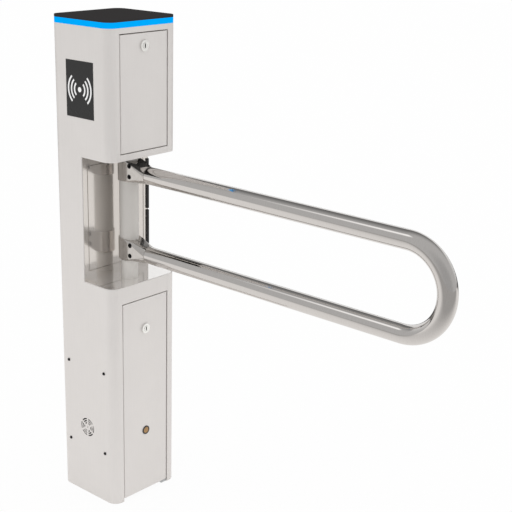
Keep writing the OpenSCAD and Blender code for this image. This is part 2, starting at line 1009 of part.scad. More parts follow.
module brake() {
    color("#47494D")
        translate([post_x, 0, brake_z]) {
            upright(brake_r, 0, brake_h);
            upright(magnet_r, -rib_h, brake_h / 2);
        }
}

// The bearing below the recess stands in its housing, and the fixed boss holds it down.
module lower_bearing_housing() {
    z1 = recess_z - sheet_t;
    z0 = z1 - boss_flange_h - bearing_w;
    color("#7D8084")
        translate([post_x, 0, 0])
            difference() {
                union() {
                    upright(bearing_r + housing_wall, z0 - bearing_seat, z1);
                    block([-pad_half, -pad_half, z1 - pad_t], [pad_half, pad_half, z1]);
                }
                upright(bearing_r + fit_gap, z0, z1 + over);
                upright(bearing_r - bearing_lip, z0 - bearing_seat - over, z1);
            }
}

module upper_bearing_housing() {
    z0 = recess_top + sheet_t;
    z1 = z0 + bearing_w;
    color("#7D8084")
        translate([post_x, 0, 0])
            difference() {
                upright(bearing_r + housing_wall, z0, z1 + bearing_seat);
                upright(bearing_r + fit_gap, z0 - over, z1);
                upright(bearing_r - bearing_lip, z0, z1 + bearing_seat + over);
            }
}

// Builds one shielded ball bearing between two heights.
module bearing(z0, z1) {
    ring = (bearing_r - shaft_r) / 3;
    difference() {
        upright(bearing_r, z0, z1);
        upright(shaft_r + fit_gap, z0 - over, z1 + over);
        difference() {
            upright(bearing_r - ring, z1 - rib_h / 2, z1 + over);
            upright(shaft_r + ring, z0 - over, z1 + 2 * over);
        }
    }
}

module shaft_bearings() {
    lower_top = recess_z - sheet_t - boss_flange_h;
    color("#A8ABAE")
        translate([post_x, 0, 0]) {
            bearing(lower_top - bearing_w, lower_top);
            bearing(recess_top + sheet_t, recess_top + sheet_t + bearing_w);
        }
}

module bearing_boss() {
    z0 = recess_z - sheet_t;
    z1 = recess_z + post_rise - washer_t - run_gap;
    color("#B9B7B4")
        translate([post_x, 0, 0])
            difference() {
                union() {
                    upright(bearing_r, z0 - boss_flange_h, z0);
                    upright(boss_r, z0 - boss_flange_h, z1);
                }
                upright(shaft_r + fit_gap, z0 - boss_flange_h - over, z1 + over);
            }
}

module thrust_washer() {
    z1 = recess_z + post_rise - run_gap;
    color("#C9A24B")
        translate([post_x, 0, 0])
            difference() {
                upright(shaft_r + washer_wall, z1 - washer_t, z1);
                upright(shaft_r + fit_gap, z1 - washer_t - over, z1 + over);
            }
}

module sensor_bridge() {
    z0 = recess_top + sheet_t;
    color("#A9ABAD")
        translate([post_x, 0, z0])
            difference() {
                block([-bridge_w / 2 - bridge_t, -bridge_half, 0], [bridge_w / 2, bridge_half, bridge_h]);
                block(
                    [-bridge_w, -bridge_half + bridge_t, -over],
                    [bridge_w, bridge_half - bridge_t, bridge_h - bridge_t]
                );
                at_probes()
                    upright(probe_r + fit_gap, -over, bridge_h + over);
            }
}

// Places its children at the position sensors, round the shaft's axis.
module at_probes() {
    for (a = [-90, 90])
        rotate([0, 0, a])
            translate([probe_at, 0, 0])
                children();
}

module position_sensors() {
    z0 = recess_top + sheet_t;
    tip = bearing_w + bearing_seat + run_gap + disc_hub_h + disc_t + probe_gap;
    color("#D8A520")
        translate([post_x, 0, z0])
            at_probes() {
                upright(probe_r, tip, tip + probe_l);
                upright_hex(probe_nut_r, bridge_h, bridge_h + probe_nut_t);
            }
}

module door_pins() {
    color("#B0B2B4")
        translate([hinge_x, hinge_y, 0]) {
            upright(pin_r, foot_t / 2 + seam_gap, lower_door_bottom + sheet_t + pin_end);
            upright(pin_r, lower_door_top - sheet_t - pin_end, lower_door_top + door_gap + sheet_t);
            upright(pin_r, upper_door_bottom - door_gap - sheet_t, upper_door_bottom + sheet_t + pin_end);
            upright(pin_r, upper_door_top - sheet_t - pin_end, upper_door_top + door_gap + sheet_t);
        }
}

// Draws a door's outline from above, with its outer upright edges rounded.
module door_outline() {
    translate([door_in_x, -door_y])
        square([hx - door_edge_r - door_in_x, 2 * door_y]);
    translate([door_in_x, -door_y + door_edge_r])
        square([hx - door_in_x, 2 * (door_y - door_edge_r)]);
    for (side = [-1, 1])
        translate([hx - door_edge_r, side * (door_y - door_edge_r)])
            circle(r = door_edge_r);
}

// Builds a door between two heights, with all four edges folded inwards.
module door(z0, z1, lock_z) {
    difference() {
        translate([0, 0, z0])
            linear_extrude(height = z1 - z0)
                door_outline();
        block([door_in_x - over, -door_y + sheet_t, z0 + sheet_t], [inner_x, door_y - sheet_t, z1 - sheet_t]);
        translate([hinge_x, hinge_y, 0])
            upright(pin_r + fit_gap, z0 - over, z1 + over);
        translate([0, 0, lock_z])
            bar_x(lock_barrel_r + fit_gap, inner_x - over, hx + over);
    }
}

module lock_body(z) {
    color("#F5F5F2")
        translate([0, 0, z])
            difference() {
                union() {
                    bar_x(lock_barrel_r, hx - lock_l, hx + lock_flange_t / 2);
                    bar_x(lock_flange_r, hx, hx + lock_flange_t);
                }
                bar_x(plug_r + fit_gap, hx - lock_l - over, hx + lock_flange_t + over);
            }
}

module lock_nut(z) {
    color("#A6A8AA")
        translate([0, 0, z])
            difference() {
                hex_x(lock_nut_r, inner_x - lock_nut_t, inner_x);
                bar_x(lock_barrel_r + fit_gap, inner_x - lock_nut_t - over, inner_x + over);
            }
}

module lock_plug(z) {
    front = hx + lock_flange_t + plug_proud;
    color("#E4E4E0")
        translate([0, 0, z])
            difference() {
                union() {
                    bar_x(plug_r, cam_x, front);
                    bar_x(tail_r, cam_x - cam_t - tail_end, cam_x + over);
                }
                block([front - key_d, -key_w / 2, -key_h / 2], [front + over, key_w / 2, key_h / 2]);
            }
}

module lock_cam(z) {
    color("#B2B4B6")
        translate([0, 0, z])
            difference() {
                union() {
                    bar_x(cam_w / 2 + cam_t, cam_x - cam_t, cam_x);
                    block([cam_x - cam_t, 0, -cam_w / 2], [cam_x, cam_l, cam_w / 2]);
                }
                bar_x(tail_r + fit_gap, cam_x - cam_t - over, cam_x + over);
            }
}

module upper_door() {
    color("#DAD6D2")
        door(upper_door_bottom, upper_door_top, upper_lock_z);
}

module upper_lock_body() {
    lock_body(upper_lock_z);
}

module upper_lock_nut() {
    lock_nut(upper_lock_z);
}

module upper_lock_plug() {
    lock_plug(upper_lock_z);
}

module upper_lock_cam() {
    lock_cam(upper_lock_z);
}

module lower_door() {
    color("#DAD6D2")
        difference() {
            door(lower_door_bottom, lower_door_top, lower_lock_z);
            translate([0, 0, sensor_z])
                bar_x(barrel_r + fit_gap, inner_x - over, hx + over);
        }
}

module lower_lock_body() {
    lock_body(lower_lock_z);
}

module lower_lock_nut() {
    lock_nut(lower_lock_z);
}

module lower_lock_plug() {
    lock_plug(lower_lock_z);
}

module lower_lock_cam() {
    lock_cam(lower_lock_z);
}

module passage_sensor() {
    color("#2B2520")
        translate([0, 0, sensor_z])
            difference() {
                union() {
                    bar_x(barrel_r, hx - barrel_l, hx + bezel_t / 2);
                    bar_x(bezel_r, hx, hx + bezel_t);
                }
                bar_x(lens_r + fit_gap, hx + bezel_t - lens_d, hx + bezel_t + over);
            }
}

module sensor_lens() {
    color("#B39468")
        translate([0, 0, sensor_z])
            bar_x(lens_r, hx + bezel_t - lens_d, hx + bezel_t);
}

module sensor_nut() {
    color("#A6A8AA")
        translate([0, 0, sensor_z])
            difference() {
                hex_x(sensor_nut_r, inner_x - sensor_nut_t, inner_x);
                bar_x(barrel_r + fit_gap, inner_x - sensor_nut_t - over, inner_x + over);
            }
}

module drive_shaft() {
    top = recess_top + sheet_t + bearing_w + bearing_seat + run_gap + disc_hub_h + disc_t + shaft_end;
    color("#B6B9BC")
        translate([post_x, 0, 0]) {
            upright(spigot_r, deck_z - spigot_l, deck_top + deck_t);
            upright(shaft_r, deck_top + deck_t / 2, top);
        }
}

module limit_disc() {
    z0 = recess_top + sheet_t + bearing_w + bearing_seat + run_gap;
    color("#55585C")
        translate([post_x, 0, 0])
            difference() {
                union() {
                    upright(disc_hub_r, z0, z0 + disc_hub_h);
                    upright(disc_r, z0 + disc_hub_h, z0 + disc_hub_h + disc_t);
                }
                upright(shaft_r + fit_gap, z0 - over, z0 + disc_hub_h + disc_t + over);
                block(
                    [disc_r - disc_notch, -disc_notch / 2, z0 + disc_hub_h - over],
                    [disc_r + over, disc_notch / 2, z0 + disc_hub_h + disc_t + over]
                );
            }
}

module post() {
    z0 = recess_z + post_rise;
    z1 = recess_top - post_top_gap;
    color("#B8B6B3")
        translate([post_x, 0, 0])
            difference() {
                upright(post_r, z0, z1);
                upright(shaft_r + fit_gap, z0 - over, z1 + over);
                upright(post_r - post_wall, z0 + post_hub, z1 - post_hub);
            }
}

// Builds a clamp bracket about a leg's axis: a split sleeve round the post,
// set a little higher than the leg, that narrows down a slope to the round
// collar of the tube.
module bracket(leg_z) {
    low = bracket_rise - bracket_h / 2;
    high = bracket_rise + bracket_h / 2;
    slope_l = neck_x + slope_back;
    color("#C9C7C4")
        translate([post_x, 0, leg_z])
            difference() {
                union() {
                    hull() {
                        upright(sleeve_r, low, high, $fn = 2 * hull_fn);
                        bar_x(collar_r, neck_x, neck_x + over, $fn = 2 * hull_fn);
                    }
                    bar_x(collar_r, neck_x, collar_x);
                    bar_x(spigot_seat_r, collar_x - over, collar_x + seat_l);
                }
                upright(post_r + fit_gap, low - over, high + over);
                block([0, -slit_w / 2, low - over], [slit_l, slit_w / 2, high + over]);
                translate([-slope_back, 0, high])
                    rotate([0, atan((high - collar_r - slope_lift) / slope_l), 0])
                        block([0, -sleeve_r - over, 0], [slope_l, sleeve_r + over, sleeve_r]);
                for (side = [-1, 1])
                    translate([bolt_x, 0, bracket_rise + side * bolt_pitch / 2]) {
                        bar_y(bolt_r + fit_gap, -sleeve_r, sleeve_r);
                        bar_y(bolt_head_r + run_gap, -sleeve_r, head_recess + bolt_head_h - cheek_half);
                    }
            }
}

module upper_bracket() {
    bracket(upper_leg_z);
}

module lower_bracket() {
    bracket(lower_leg_z);
}

module clamp_bolts() {
    y0 = -cheek_half + head_recess;
    color("#1B1B1D")
        for (leg_z = [lower_leg_z, upper_leg_z], side = [-1, 1])
            translate([post_x + bolt_x, 0, leg_z + bracket_rise + side * bolt_pitch / 2])
                difference() {
                    union() {
                        bar_y(bolt_head_r, y0, y0 + bolt_head_h);
                        bar_y(bolt_r, y0 + bolt_head_h / 2, -y0);
                    }
                    translate([0, y0 + bolt_head_h / 2, 0])
                        rotate([90, 0, 0])
                            cylinder(r = bolt_r, h = bolt_head_h, $fn = 6);
                }
}

// Builds the U-shaped path of the arm as a solid bar, its legs starting at x0.
module arm_bar(r, x0) {
    for (leg_z = [lower_leg_z, upper_leg_z])
        translate([0, 0, leg_z])
            bar_x(r, x0, bend_x);
    translate([bend_x, 0, (lower_leg_z + upper_leg_z) / 2])
        rotate([90, 0, 0])
            rotate([0, 0, -90])
                rotate_extrude(angle = 180)
                    translate([bend_r, 0])
                        circle(r = r);
}

module arm_tube() {
    x0 = post_x + collar_x + seam_gap;
    color("#C4C3C2")
        difference() {
            arm_bar(tube_r, x0);
            arm_bar(tube_r - tube_wall, x0 - over);
        }
}

foot_plate();
floor_grommet();
near_side_panel();
far_side_panel();
rear_panel();
rear_screws();
upper_top_rail();
upper_bottom_rail();
lower_top_rail();
lock_bar();
recess_ceiling();
recess_floor();
recess_back_frame();
access_panel();
rubber_strips();
top_tray();
light_board();
light_diffuser();
top_lid();
reader_window();
reader_symbol();
reader_housing();
speaker();
side_screws();
equipment_plate();
power_supply();
control_board();
motor_deck();
gearbox();
gearbox_bolts();
motor();
brake();
lower_bearing_housing();
upper_bearing_housing();
shaft_bearings();
bearing_boss();
thrust_washer();
sensor_bridge();
position_sensors();
door_pins();
upper_door();
upper_lock_body();
upper_lock_nut();
upper_lock_plug();
upper_lock_cam();
lower_door();
lower_lock_body();
lower_lock_nut();
lower_lock_plug();
lower_lock_cam();
passage_sensor();
sensor_lens();
sensor_nut();
drive_shaft();
limit_disc();
post();
upper_bracket();
lower_bracket();
clamp_bolts();
arm_tube();
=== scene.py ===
"""Dressed model of a swing turnstile: steel column, light ring, reader and U-shaped arm."""
import math

import bmesh
import bpy
from mathutils import Matrix, Vector


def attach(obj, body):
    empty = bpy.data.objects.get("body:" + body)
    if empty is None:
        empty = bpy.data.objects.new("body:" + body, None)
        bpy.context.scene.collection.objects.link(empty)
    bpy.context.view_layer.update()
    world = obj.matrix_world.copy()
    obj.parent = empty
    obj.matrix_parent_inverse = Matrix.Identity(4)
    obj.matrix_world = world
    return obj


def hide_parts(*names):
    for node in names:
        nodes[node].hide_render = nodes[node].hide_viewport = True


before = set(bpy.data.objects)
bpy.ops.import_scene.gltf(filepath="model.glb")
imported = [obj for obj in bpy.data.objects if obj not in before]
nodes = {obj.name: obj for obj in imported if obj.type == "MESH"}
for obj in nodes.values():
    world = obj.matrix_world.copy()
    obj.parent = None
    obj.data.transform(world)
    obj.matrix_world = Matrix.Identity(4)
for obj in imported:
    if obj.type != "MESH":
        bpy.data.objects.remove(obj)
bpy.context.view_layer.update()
MM = 0.001
# Noise lies about 0.5, and this part of it is spread over each range of colour and roughness.
NOISE_SPAN = (0.3, 0.7)
# Vertices nearer than this are merged, and faces that turn by less are joined.
MERGE_MM = 0.002
FLAT_DEG = 0.5
# Edges that turn by more are rounded, and those still sharper than the crease stay sharp.
ROUNDED_DEG = 38
CREASE_DEG = 35
TUBE_SEGMENTS = 96
BEND_STEPS = 64
TUBE_WALL_MM = 2

# Ways out from the object: to the far side of the studio, to the camera and to the soft box.
FAR_SIDE = (-0.68, 0.73, 0.0)
CAMERA_SIDE = (0.73, -0.68, 0.0)
SOFT_BOX = (-0.48, -0.41, 0.77)
UPWARDS = (0, 0, 1)
# Where each change of the room begins and ends: on unit directions, and on the floor in metres.
FAR_SPAN = (0.0, 0.9)
CAMERA_SPAN = (0.45, 0.95)
SOFT_BOX_SPAN = (0.975, 0.997)
DRAPE_TOP_SPAN = (0.40, 0.50)
FLOOR_FAR_SPAN = (0.7, 2.2)
FLOOR_CAMERA_SPAN = (0.3, 1.6)
# How bright each part of the room is to metal.
ROOM_LIGHT = 0.58
CAMERA_SIDE_LIGHT = 0.46
SOFT_BOX_LIGHT = 0.75
DRAPE_LIGHT = 0.95
ABOVE_DRAPE_LIGHT = 0.17
FLOOR_LIGHT = 0.95
FLOOR_FAR_LIGHT = 0.12
# Share of plain white in the floor that the camera sees; the rest keeps the shadow.
FLOOR_WHITE_SHARE = 0.94
FLOOR_RADIUS = 12.0
FLOOR_SEGMENTS = 96

# The camera, solved from the column's own edges in the photograph.
CAMERA_PLACE = (1.6312, -1.4916, 1.2071)
PITCH_DEG = 19.84
YAW_DEG = 132.92
ROLL_DEG = 0.84
SENSOR_MM = 36.0
PHOTO_PX = 512
FOCAL_PX = 1146.3
AXIS_PX = (205, 300)


# Materials -----------------------------------------------------------------

def linear(hex_colour):
    """Turns an sRGB hex colour such as D8D4D0 to linear RGBA."""
    channels = [int(hex_colour[i:i + 2], 16) / 255 for i in (0, 2, 4)]
    return [c / 12.92 if c <= 0.04045 else ((c + 0.055) / 1.055) ** 2.4 for c in channels] + [1.0]


def add(tree, kind, inputs=(), **settings):
    """Adds one node, with its settings, and its inputs set or linked."""
    made = tree.nodes.new(kind)
    for name, value in settings.items():
        setattr(made, name, value)
    for name, value in dict(inputs).items():
        if isinstance(value, bpy.types.NodeSocket):
            tree.links.new(value, made.inputs[name])
        else:
            made.inputs[name].default_value = value
    return made


def surface(name, **shader):
    """Starts a material: gives it, its tree, its shader and its Object coordinates."""
    material = bpy.data.materials.new(name)
    material.use_nodes = True
    tree = material.node_tree
    bsdf = tree.nodes["Principled BSDF"]
    for socket, value in shader.items():
        bsdf.inputs[socket.replace("_", " ")].default_value = value
    place = add(tree, "ShaderNodeTexCoord").outputs["Object"]
    return material, tree, bsdf, place


def grain(tree, place, size_mm, stretch=(1, 1, 1), detail=2.0):
    """Adds noise whose spots measure size_mm, drawn out along the axes with a small stretch."""
    mapped = add(tree, "ShaderNodeMapping", {"Vector": place, "Scale": stretch})
    noise = add(tree, "ShaderNodeTexNoise", {
        "Vector": mapped.outputs["Vector"], "Scale": 1 / (size_mm * MM), "Detail": detail,
    })
    return noise.outputs["Fac"]


def tint(tree, pattern, colours):
    """Blends two hex colours by a pattern."""
    ramp = add(tree, "ShaderNodeValToRGB", {"Fac": pattern})
    for element, position, colour in zip(ramp.color_ramp.elements, NOISE_SPAN, colours):
        element.position = position
        element.color = linear(colour)
    return ramp.outputs["Color"]


def finish_surface(tree, bsdf, pattern, colours, roughness, relief=None, depth_mm=0.0):
    """Spreads a pattern over two colours and two values of roughness, and adds a relief."""
    tree.links.new(tint(tree, pattern, colours), bsdf.inputs["Base Color"])
    rough = add(tree, "ShaderNodeMapRange", {
        "Value": pattern, "From Min": NOISE_SPAN[0], "From Max": NOISE_SPAN[1],
        "To Min": roughness[0], "To Max": roughness[1],
    })
    tree.links.new(rough.outputs["Result"], bsdf.inputs["Roughness"])
    if relief is not None:
        bump = add(tree, "ShaderNodeBump", {"Height": relief, "Distance": depth_mm * MM, "Strength": 1.0})
        tree.links.new(bump.outputs["Normal"], bsdf.inputs["Normal"])


def satin_sheet():
    """304 stainless sheet, linished upright and then lightly blasted: an even warm grey
    with a faint upright grain, no mirror image, and a soft sheen. The lines of the grain,
    about 0.1 mm wide on real sheet, are drawn 1.2 mm wide to show."""
    material, tree, bsdf, place = surface("satin_stainless_sheet", Metallic=0.3)
    lines = grain(tree, place, 1.2, (1, 1, 0.02))
    cloud = grain(tree, place, 60)
    both = add(tree, "ShaderNodeMath", {0: lines, 1: cloud}, operation="ADD").outputs[0]
    half = add(tree, "ShaderNodeMath", {0: both, 1: 0.5}, operation="MULTIPLY").outputs[0]
    finish_surface(tree, bsdf, half, ("E1DDDA", "E6E2DF"), (0.44, 0.52), lines, 0.004)
    return material


def brushed_panel():
    """304 stainless sheet, finely brushed across: its mirror image is faintly
    smeared. The brush lines are drawn 0.5 mm wide, as the real 0.1 mm would not show."""
    material, tree, bsdf, place = surface("brushed_stainless_panel", Metallic=0.8, Anisotropic=0.3)
    lines = grain(tree, place, 0.5, (1, 0.02, 1))
    finish_surface(tree, bsdf, lines, ("DAD5D0", "E0DBD6"), (0.10, 0.13))
    across = add(tree, "ShaderNodeTangent", direction_type="RADIAL", axis="X")
    tree.links.new(across.outputs["Tangent"], bsdf.inputs["Tangent"])
    return material


def pale_sheet():
    """304 stainless sheet with a bright rolled skin: a pale, nearly clear mirror
    with slow waves 25 mm wide."""
    material, tree, bsdf, place = surface("bright_rolled_stainless", Metallic=0.8)
    cloud = grain(tree, place, 25)
    finish_surface(tree, bsdf, cloud, ("F3F1EF", "F8F6F4"), (0.06, 0.09), cloud, 0.005)
    return material


def polished_tube():
    """304 stainless tube, buffed: a clear mirror with fine buffing lines round it,
    drawn 0.6 mm wide because the real ones are too fine to show."""
    material, tree, bsdf, place = surface("buffed_stainless_tube", Metallic=1.0)
    lines = grain(tree, place, 0.6, (1, 0.1, 0.1))
    finish_surface(tree, bsdf, lines, ("D2CECB", "D8D5D2"), (0.05, 0.09), lines, 0.001)
    return material


def buffed_casting():
    """Investment-cast stainless, buffed on a wheel: a mirror with soft low waves."""
    material, tree, bsdf, place = surface("buffed_stainless_casting", Metallic=0.93)
    waves = grain(tree, place, 9)
    finish_surface(tree, bsdf, waves, ("C6C2BE", "CECAC6"), (0.06, 0.10), waves, 0.006)
    return material


def blasted_steel(name, low, high):
    """Stainless blasted with glass beads: dull, pale and finely grained. The dents, about
    0.2 mm wide in truth, are drawn 1.1 mm wide to show."""
    material, tree, bsdf, place = surface(name, Metallic=0.1)
    beads = grain(tree, place, 1.1, detail=3.0)
    finish_surface(tree, bsdf, beads, (low, high), (0.42, 0.58), beads, 0.03)
    return material


def plated_steel(name, low, high, roughness):
    """Metal with a plated, ground or drawn skin: cloudy, with small spangles."""
    material, tree, bsdf, place = surface(name, Metallic=1.0)
    spangle = grain(tree, place, 5)
    finish_surface(tree, bsdf, spangle, (low, high), (roughness, roughness + 0.12), spangle, 0.01)
    return material


def moulded(name, low, high, roughness, size_mm, depth_mm=0.02, **shader):
    """Moulded, painted or printed skin with an even texture. Grains finer than 0.7 mm
    would not show, so they are drawn at least that wide."""
    material, tree, bsdf, place = surface(name, **shader)
    texture = grain(tree, place, size_mm)
    finish_surface(tree, bsdf, texture, (low, high), (roughness, roughness + 0.06), texture, depth_mm)
    return material


def lit_acrylic():
    """Opal acrylic lit from behind by blue diodes: an even saturated blue."""
    material, tree, bsdf, place = surface("lit_blue_acrylic", Roughness=0.35, Emission_Strength=1.0)
    cloud = grain(tree, place, 14)
    tree.links.new(tint(tree, cloud, ("00A8FC", "00ACFF")), bsdf.inputs["Emission Color"])
    bsdf.inputs["Base Color"].default_value = linear("000408")
    bsdf.inputs["Specular IOR Level"].default_value = 0.0
    return material


SATIN = satin_sheet()
BRUSHED = brushed_panel()
PALE = pale_sheet()
TUBE = polished_tube()
CASTING = buffed_casting()
# Bead blasted tube of the post, and the same steel on the turned boss below it, painted paler as painted
# light to make up for the shade it stands in.
BLASTED = blasted_steel("bead_blasted_stainless", "C4C0BB", "D2CEC9")
BLASTED_PAINTED_PALER = blasted_steel("blasted_stainless_painted_paler", "D9D5D0", "E5E1DC")
BLUE = lit_acrylic()
# Zinc plated steel: a grey skin with soft spangles.
ZINC = plated_steel("zinc_plated_steel", "A9ABAD", "BCBEC0", 0.32)
# Ground bearing steel: brighter and smoother.
GROUND = plated_steel("ground_bearing_steel", "B6B9BC", "C4C7C9", 0.16)
# Chrome plated zinc die casting: white and glossy.
CHROME = plated_steel("chrome_plated_zinc", "F1F1EE", "F7F7F4", 0.12)
# Sintered bronze and turned brass: yellow and half dull.
BRONZE = plated_steel("sintered_bronze", "B08A3C", "C29B4A", 0.35)
BRASS = plated_steel("turned_brass", "C8A23E", "D4AF4C", 0.25)
# Drawn aluminium case: pale grey and half dull.
ALUMINIUM = plated_steel("drawn_aluminium", "B0B2B4", "BEC0C2", 0.38)
# Blackened steel screw: near black with a dull sheen.
BLACKENED = moulded("blackened_steel", "141416", "1E1E20", 0.38, 1.0, Metallic=0.6)
# Powder coated lid: dark warm grey, without a highlight.
LID = moulded("dark_powder_coat", "353434", "393737", 0.5, 0.9, 0.01, Specular_IOR_Level=0.0)
# Smoked acrylic window: dark grey, smooth.
WINDOW = moulded("smoked_acrylic", "303030", "323232", 0.22, 20, 0.002, Specular_IOR_Level=0.15)
# Recess ceiling painted matt black as painted shade: it stands for the shadow under the upper section,
# which the brackets and tube mirror dark.
PAINTED_SHADE_BLACK = moulded("painted_shade_black", "0E0E0F", "141415", 0.6, 1.2, 0.01, Specular_IOR_Level=0.2)
# Screen printed white ink: even and dull.
INK = moulded("white_ink", "F6F6F6", "FCFCFC", 0.5, 0.8, 0.01)
# Moulded ABS: black with a fine spark-eroded grain.
ABS = moulded("black_abs", "1B1B1D", "232325", 0.45, 0.7)
# Cured rubber: black and dull.
RUBBER = moulded("black_rubber", "1A1A1B", "242425", 0.6, 0.8, 0.03)
# Amber polycarbonate lens: smooth and glossy.
AMBER = moulded("amber_polycarbonate", "9C7546", "AC8858", 0.15, 4, 0.01)
# Glass fibre boards with a green or white solder mask: glossy, with a faint weave.
GREEN = moulded("green_solder_mask", "24553A", "2F6B45", 0.3, 2.5)
WHITE = moulded("white_solder_mask", "E2E5E0", "EDF0EB", 0.35, 2.5)
# Grey casting paint, pitted like the iron under it, and smoother dark motor enamel.
PAINT = moulded("grey_casting_paint", "565A60", "666A70", 0.42, 1.4, 0.05)
ENAMEL = moulded("dark_motor_enamel", "2A2E34", "363A40", 0.35, 1.2, 0.03)


# Pieces --------------------------------------------------------------------

def node_box(node):
    """Gives the lowest and highest corner of a CAD node, in metres."""
    corners = [nodes[node].matrix_world @ Vector(corner) for corner in nodes[node].bound_box]
    low = Vector([min(corner[i] for corner in corners) for i in range(3)])
    high = Vector([max(corner[i] for corner in corners) for i in range(3)])
    return low, high


def finish_piece(bm, name, body, material, stands_for, thick_mm=0):
    """Turns a bmesh into a smooth shaded object that rides on a body and stands for CAD
    nodes. A sheet is thickened inwards."""
    mesh = bpy.data.meshes.new(name)
    bm.to_mesh(mesh)
    bm.free()
    for face in mesh.polygons:
        face.use_smooth = True
    mesh.set_sharp_from_angle(angle=math.radians(CREASE_DEG))
    piece = bpy.data.objects.new(name, mesh)
    bpy.context.scene.collection.objects.link(piece)
    mesh.materials.append(material)
    if thick_mm:
        wall = piece.modifiers.new("wall", "SOLIDIFY")
        wall.thickness = thick_mm * MM
        wall.offset = -1
    modifier = piece.modifiers.new("even_normals", "WEIGHTED_NORMAL")
    modifier.keep_sharp = True
    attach(piece, body)
    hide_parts(*stands_for)


def solid_of(node):
    """Copies a CAD node as a closed bmesh of flat faces."""
    bm = bmesh.new()
    bm.from_mesh(nodes[node].data)
    bmesh.ops.transform(bm, matrix=nodes[node].matrix_world, verts=bm.verts)
    bmesh.ops.remove_doubles(bm, verts=bm.verts, dist=MERGE_MM * MM)
    bmesh.ops.dissolve_limit(bm, angle_limit=math.radians(FLAT_DEG), verts=bm.verts, edges=bm.edges)
    return bm


def refined(node, body, material, round_mm):
    """Stands for a CAD node with the same solid, its edges rounded."""
    bm = solid_of(node)
    limit = math.radians(ROUNDED_DEG)
    sharp = [e for e in bm.edges if len(e.link_faces) == 2 and e.calc_face_angle(0) > limit]
    bmesh.ops.bevel(
        bm, geom=sharp, offset=round_mm * MM, offset_type="OFFSET", affect="EDGES", segments=2,
        profile=0.5, material=-1, clamp_overlap=True,
    )
    finish_piece(bm, node + "_finished", body, material, (node,))


def ring_of(bm, radius, centre):
    """Draws a circle of edges across the X axis, to be drawn out into a tube."""
    turn = Matrix.Translation(centre) @ Matrix.Rotation(math.radians(90), 4, "Y")
    made = bmesh.ops.create_circle(bm, cap_ends=False, segments=TUBE_SEGMENTS, radius=radius, matrix=turn)
    return list({edge for vert in made["verts"] for edge in vert.link_edges})


def draw_out(bm, edges, step):
    """Draws a ring of edges out by a step and gives the ring at its end."""
    made = bmesh.ops.extrude_edge_only(bm, edges=edges)["geom"]
    bmesh.ops.translate(bm, vec=step, verts=[g for g in made if isinstance(g, bmesh.types.BMVert)])
    return [g for g in made if isinstance(g, bmesh.types.BMEdge)]


def arm_tube():
    """Bends one thin tube into a lying U: a leg, a half turn and a leg back."""
    low, high = node_box("arm_tube")
    radius = (high.y - low.y) / 2
    lower, upper = low.z + radius, high.z - radius
    middle = (lower + upper) / 2
    leg = high.x - radius - (upper - lower) / 2 - low.x
    bm = bmesh.new()
    edges = draw_out(bm, ring_of(bm, radius, (low.x, 0, lower)), (leg, 0, 0))
    turned = bmesh.ops.spin(
        bm, geom=edges, cent=(low.x + leg, 0, middle), axis=(0, -1, 0), angle=math.pi,
        steps=BEND_STEPS, use_duplicate=False,
    )["geom_last"]
    draw_out(bm, [g for g in turned if isinstance(g, bmesh.types.BMEdge)], (-leg, 0, 0))
    bmesh.ops.recalc_face_normals(bm, faces=bm.faces)
    finish_piece(bm, "arm_tube_bent", "arm", TUBE, ("arm_tube",), thick_mm=TUBE_WALL_MM)


